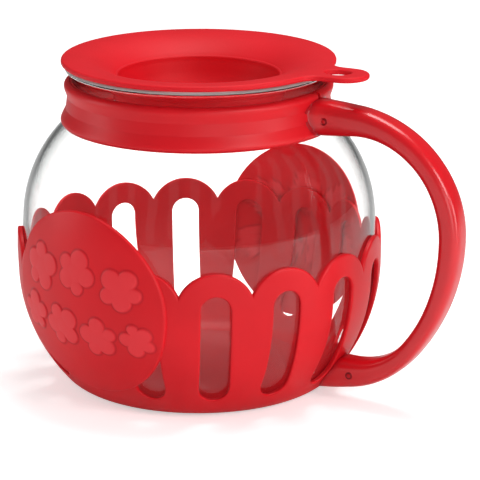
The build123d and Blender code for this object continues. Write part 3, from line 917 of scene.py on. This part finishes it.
def lidProfile():
    # (radius, height) from the well's floor out to the joint on top, then back underneath.
    bowl = (lid["floorRadius"], lid["floor"] + lid["corner"])
    reach = np.linspace(lid["wellRadius"] + lid["beadStart"], lid["joint"], 34)
    wall = arcPoints(bowl, lid["corner"], -lid["slope"], -lid["slope"], 1)[0]
    well = np.concatenate([
        linePoints((lid["dripZone"][1], lid["floor"]), (bowl[0], lid["floor"]), 4)[:-1],
        arcPoints(bowl, lid["corner"], -90, -lid["slope"], 20)[:-1],
        linePoints(wall, (lid["wellRadius"] - lid["wallIn"],
                          lid["wellEdge"] - lid["wallDown"]), 5)])
    brim = np.stack([reach, bowlHeight(reach)], -1)
    beadCentre = (lid["wellRadius"] + lid["beadOut"], lid["wellEdge"] - lid["beadDown"])
    bead = arcPoints(beadCentre, lid["bead"], lid["beadFrom"], lid["beadTo"], 9)
    skin = np.concatenate([well, brim[2:]])
    under = shiftedCurve(skin, lid["thickness"])
    under[:4, 1] = lid["floor"] - lid["thickness"]
    under[:4, 0] = skin[:4, 0]
    under = under[(under[:, 0] < lid["underEnd"]) | (np.arange(len(under)) < 10)]
    low = lid["top"] - lid["thickness"]
    over = np.array([[lid["plugSide"], low], [lid["joint"], low]])
    back = np.concatenate([under, [lid["tail"]], lid["plug"][::-1], over])[::-1]
    return np.concatenate([well, bead, brim[1:]]), back


def roundOver(edge, thickness, steps=6):
    # (inset, drop) of an edge rounded on both sides.
    turn = np.radians(np.linspace(0, 90, steps))
    first = np.stack([edge * (1 - np.sin(turn)), edge * (1 - np.cos(turn))], -1)
    return np.concatenate([first, (first * (1, -1) + (0, thickness))[::-1]])


def tabOutline(inset):
    # Half of the rim with the tab, from the tab's tip to the sector's side: tip arc, straight
    # side, fillet into the rim, rim.
    half, hollow = lid["tabHalf"] - inset, lid["tabFillet"] + inset
    rise = lid["tabHalf"] + lid["tabFillet"]
    run = np.sqrt((lid["radius"] + lid["tabFillet"]) ** 2 - rise ** 2)
    meet = np.degrees(np.arctan2(rise, run))
    return np.concatenate([
        arcPoints((lid["tabCentre"], 0), half, 0, 90, 15)[:-1],
        linePoints((lid["tabCentre"], half), (run, half), 5)[:-1],
        arcPoints((run, rise), hollow, 270, 180 + meet, 9)[:-1],
        arcPoints((0, 0), lid["radius"] - inset, meet, lid["tabAngle"], 4)])


def holeOutline(spread, angles):
    # The tab's oval hole, widened by spread.
    turn = np.radians(angles)
    return np.stack([lid["holeCentre"] + (lid["hole"][0] + spread) * np.cos(turn),
                     (lid["hole"][1] + spread) * np.sin(turn)], -1)


def bothSides(half):
    # A half outline above the X axis, closed by its mirror image below.
    return np.concatenate([half, half[::-1][1:] * (1, -1)])


def turnedLid():
    # The lid's skins turned about Z, and its brim round all but the tab's sector.
    patches = [closedRevolve(part, lid["segments"]) for part in lidProfile()]
    top, low = lid["top"], lid["top"] - lid["thickness"]
    edge = roundOver(lid["edge"], lid["thickness"])
    side = np.linspace(lid["joint"], lid["radius"] - lid["edge"], 4)
    rim = np.concatenate([
        np.stack([side, bowlHeight(side)], -1)[:-1],
        np.stack([lid["radius"] - edge[:, 0], top - edge[:, 1]], -1),
        np.stack([side, low + 0 * side], -1)[::-1][1:]])
    steps = round(lid["segments"] * (360 - 2 * lid["tabAngle"]) / 360)
    turn = np.radians(np.linspace(lid["tabAngle"], 360 - lid["tabAngle"], steps + 1))
    return patches + [turnedRings(rim, turn)]


def tabSector():
    # The tab: top and bottom blended from the hole's outline to the sector's, outer edge,
    # and the hole's wall.
    top, low = lid["top"], lid["top"] - lid["thickness"]
    side = np.linspace(lid["joint"], lid["radius"] - lid["edge"], 4)
    radial = side[::-1][1:, None] * unit(lid["tabAngle"])
    inner = arcPoints((0, 0), lid["joint"], lid["tabAngle"], 0, lid["segments"] // 18 + 1)[1:]
    loop = bothSides(np.concatenate([tabOutline(lid["edge"]), radial, inner]))
    # the hole's angle beside each point of the loop
    half = len(loop) // 2
    stops = np.interp(np.arange(half + 1), (0, 14, 18, 26, 29, 32, half),
                      (0, 72, 95, 165, 170, 174, 180))
    angles = np.concatenate([stops, 360 - stops[::-1][1:]])
    flat = blended(holeOutline(lid["holeEdge"], angles), loop, lid["blendSteps"])
    patches = [atHeight(flat, bowlHeight(np.hypot(flat[..., 0], flat[..., 1]))),
               atHeight(flat, low)]
    rim = []
    for inset, drop in roundOver(lid["edge"], lid["thickness"]):
        half = tabOutline(inset)
        rim.append(atHeight(np.concatenate([half[::-1], half[1:] * (1, -1)]), top - drop))
    hole = [atHeight(holeOutline(inset, angles), top - drop)
            for inset, drop in roundOver(lid["holeEdge"], lid["thickness"])]
    return patches + [np.stack(rim), np.stack(hole)]


def dripFloor():
    # The well's floor: equal sectors, each blended from its drip hole's circle to its own
    # outline, and a plain disc in the middle.
    near, far = lid["dripZone"]
    spread = 180 / lid["drips"]
    heights = (lid["floor"], lid["floor"] - lid["thickness"])
    outerArc = arcPoints((0, 0), far, 0, spread, lid["segments"] // 12 + 1)
    down = np.linspace(far, near, 7)[1:, None] * unit(spread)
    innerArc = arcPoints((0, 0), near, spread, 0, 7)[1:]
    sector = bothSides(np.concatenate([outerArc, down, innerArc]))
    drip = arcPoints((0, 0), 1, 0, 360, len(sector))
    edge = roundOver(lid["dripEdge"], lid["thickness"], 4)
    middle = np.array([lid["dripCircle"], 0])
    patches = []
    for k in range(lid["drips"]):
        a = k * 360 / lid["drips"]
        spin = np.array([unit(a), unit(a + 90)])
        hole = middle + drip * (lid["dripRadius"] + lid["dripEdge"])
        flat = blended(hole, sector, lid["blendSteps"]) @ spin
        patches += [atHeight(flat, height) for height in heights]
        patches.append(np.stack([
            atHeight((middle + drip * (lid["dripRadius"] + inset)) @ spin, lid["floor"] - drop)
            for inset, drop in edge]))
    for height in heights:
        patches.append(closedRevolve(linePoints((0, height), (near, height), 4),
                                     12 * lid["drips"]))
    return patches


def makeLid():
    # A body turned about Z, a tab sector beside it and a floor with drip holes.
    return patchObject("meltingLid", turnedLid() + tabSector() + dripFloor(), sharp=50)


finishPiece(makeLid(), "lid", "red_silicone", siliconeRed, "lid")
print("lid finished")

# floor, light and camera
stage = {
    "floorSize": 6.0, "floorColour": (0.93, 0.93, 0.93, 1),
    "floorMottle": (0.90, 0.90, 0.90, 1), "mottleScale": 6.0, "floorRoughness": 0.6,
    "roomLight": 0.34, "mirrorRoom": 0.10, "backdropLight": 1.0, "mirroredBackdrop": 0.20,
    "floorGlow": 0.50, "mirroredGlow": 0.05, "aim": (0.02, 0, 0.09),
    # name, place, size, power
    "lights": (("keyLight", (1.45, -0.50, 0.85), (0.6, 0.6), 9.5),
               ("lowFill", (0.95, -1.10, 0.20), (0.7, 0.4), 2.2),
               ("topLight", (0.1, 0.3, 1.5), (0.9, 0.7), 13.5),
               ("leftStrip", (-1.4, -0.7, 0.45), (0.35, 1.0), 6.0),
               ("rightStrip", (1.45, 0.1, 0.12), (0.30, 0.7), 4.5)),
}


def dimmedWhenMirrored(tree, path, plain, mirrored):
    # A strength that falls from plain to mirrored once a ray has bounced off something glossy.
    node = addNode(tree, "MapRange", {"Value": path.outputs["Glossy Depth"]},
                   {"To Min": plain, "To Max": mirrored})
    return node.outputs["Result"]


def seenDirectly(tree, path):
    # 1 for what the camera sees, straight or through glass.
    node = addNode(tree, "Math", {0: path.outputs["Is Camera Ray"],
                                  1: path.outputs["Transmission Depth"]},
                   operation="MAXIMUM", use_clamp=True)
    return node.outputs["Value"]


def makeFloor():
    # A large pale sheet, softly mottled, that glows a little for the camera.
    half = stage["floorSize"] / 2
    side = np.linspace(-half, half, 5)
    grid = np.stack([*np.meshgrid(side, side, indexing="ij"), np.zeros((5, 5))], -1)
    floor = patchObject("studioFloor", [grid], sharp=40)
    material, tree, shader = blankMaterial("paleFloor")
    place = addNode(tree, "TexCoord").outputs["Object"]
    noise = addNode(tree, "TexNoise", {"Vector": place}, {"Scale": stage["mottleScale"]})
    colour = mixColour(tree, noise.outputs["Fac"], stage["floorColour"], stage["floorMottle"])
    linkInputs(tree, shader, {"Base Color": colour})
    setInputs(shader, {"Roughness": stage["floorRoughness"]})
    path = addNode(tree, "LightPath")
    glow = addNode(tree, "Emission", {"Strength": dimmedWhenMirrored(
        tree, path, stage["floorGlow"], stage["mirroredGlow"])})
    both = addNode(tree, "AddShader", {0: shader.outputs["BSDF"], 1: glow.outputs["Emission"]})
    blend = mixShaders(tree, seenDirectly(tree, path), shader.outputs["BSDF"],
                       both.outputs["Shader"])
    # what the jug's inside mirrors of the floor is dimmed as the backdrop is
    inside = addNode(tree, "Math", {0: path.outputs["Glossy Depth"],
                                    1: path.outputs["Transmission Depth"]},
                     operation="MINIMUM", use_clamp=True)
    dim = addNode(tree, "Emission", values={"Strength": stage["mirroredBackdrop"]})
    whole = mixShaders(tree, inside.outputs["Value"], blend, dim.outputs["Emission"])
    linkInputs(tree, tree.nodes["Material Output"], {"Surface": whole})
    floor.data.materials.append(material)


def makeWorld():
    # Plain white behind the object, a dimmer grey room for what lights and mirrors in it.
    world = bpy.data.worlds.new("studio")
    bpy.context.scene.world = world
    world.use_nodes = True
    tree = world.node_tree
    white = (1, 1, 1, 1)
    room = tree.nodes["Background"]
    setInputs(room, {"Color": white, "Strength": stage["roomLight"]})
    path = addNode(tree, "LightPath")
    backdrop = addNode(tree, "Background", {"Strength": dimmedWhenMirrored(
        tree, path, stage["backdropLight"], stage["mirroredBackdrop"])}, {"Color": white})
    dark = addNode(tree, "Background", None,
                   {"Color": white, "Strength": stage["mirrorRoom"]})
    mirrored = mixShaders(tree, path.outputs["Is Glossy Ray"], room.outputs["Background"],
                          dark.outputs["Background"])
    whole = mixShaders(tree, seenDirectly(tree, path), mirrored, backdrop.outputs["Background"])
    linkInputs(tree, tree.nodes["World Output"], {"Surface": whole})


makeFloor()
makeWorld()


def areaLight(name, place, target, size, power, litPieces):
    # A soft rectangular light at a place, turned to a target.
    data = bpy.data.lights.new(name, "AREA")
    data.shape = "RECTANGLE"
    data.size, data.size_y = size
    data.energy = power
    lamp = bpy.data.objects.new(name, data)
    lamp.location = place
    lamp.rotation_euler = (Vector(target) - Vector(place)).to_track_quat("-Z", "Y").to_euler()
    lamp.visible_transmission = False  # no lamp shapes inside the glass
    lamp.light_linking.receiver_collection = litPieces
    bpy.context.scene.collection.objects.link(lamp)


# the lamps light everything but the glass, so it mirrors only the soft room
mirrorless = bpy.data.collections.new("mirrorless")
mirrorless.objects.link(bpy.data.objects["glassJug"])
mirrorless.collection_objects[0].light_linking.link_state = "EXCLUDE"
for name, place, size, power in stage["lights"]:
    areaLight(name, place, stage["aim"], size, power, mirrorless)

view = bpy.context.scene.view_settings
view.view_transform = "Standard"
view.look = "None"

shot = {"place": (0.6377, -1.1545, 0.4584), "aim": (-0.4506, 0.8477, -0.2800),
        "sensor": 36.0, "lens": 196.85, "farthest": 20.0}
cameraData = bpy.data.cameras.new("camera")
cameraData.sensor_width = shot["sensor"]
cameraData.lens = shot["lens"]
cameraData.clip_end = shot["farthest"]
camera = bpy.data.objects.new("camera", cameraData)
camera.location = shot["place"]
camera.rotation_euler = Vector(shot["aim"]).to_track_quat("-Z", "Y").to_euler()
bpy.context.scene.collection.objects.link(camera)
bpy.context.scene.camera = camera
print("stage set")
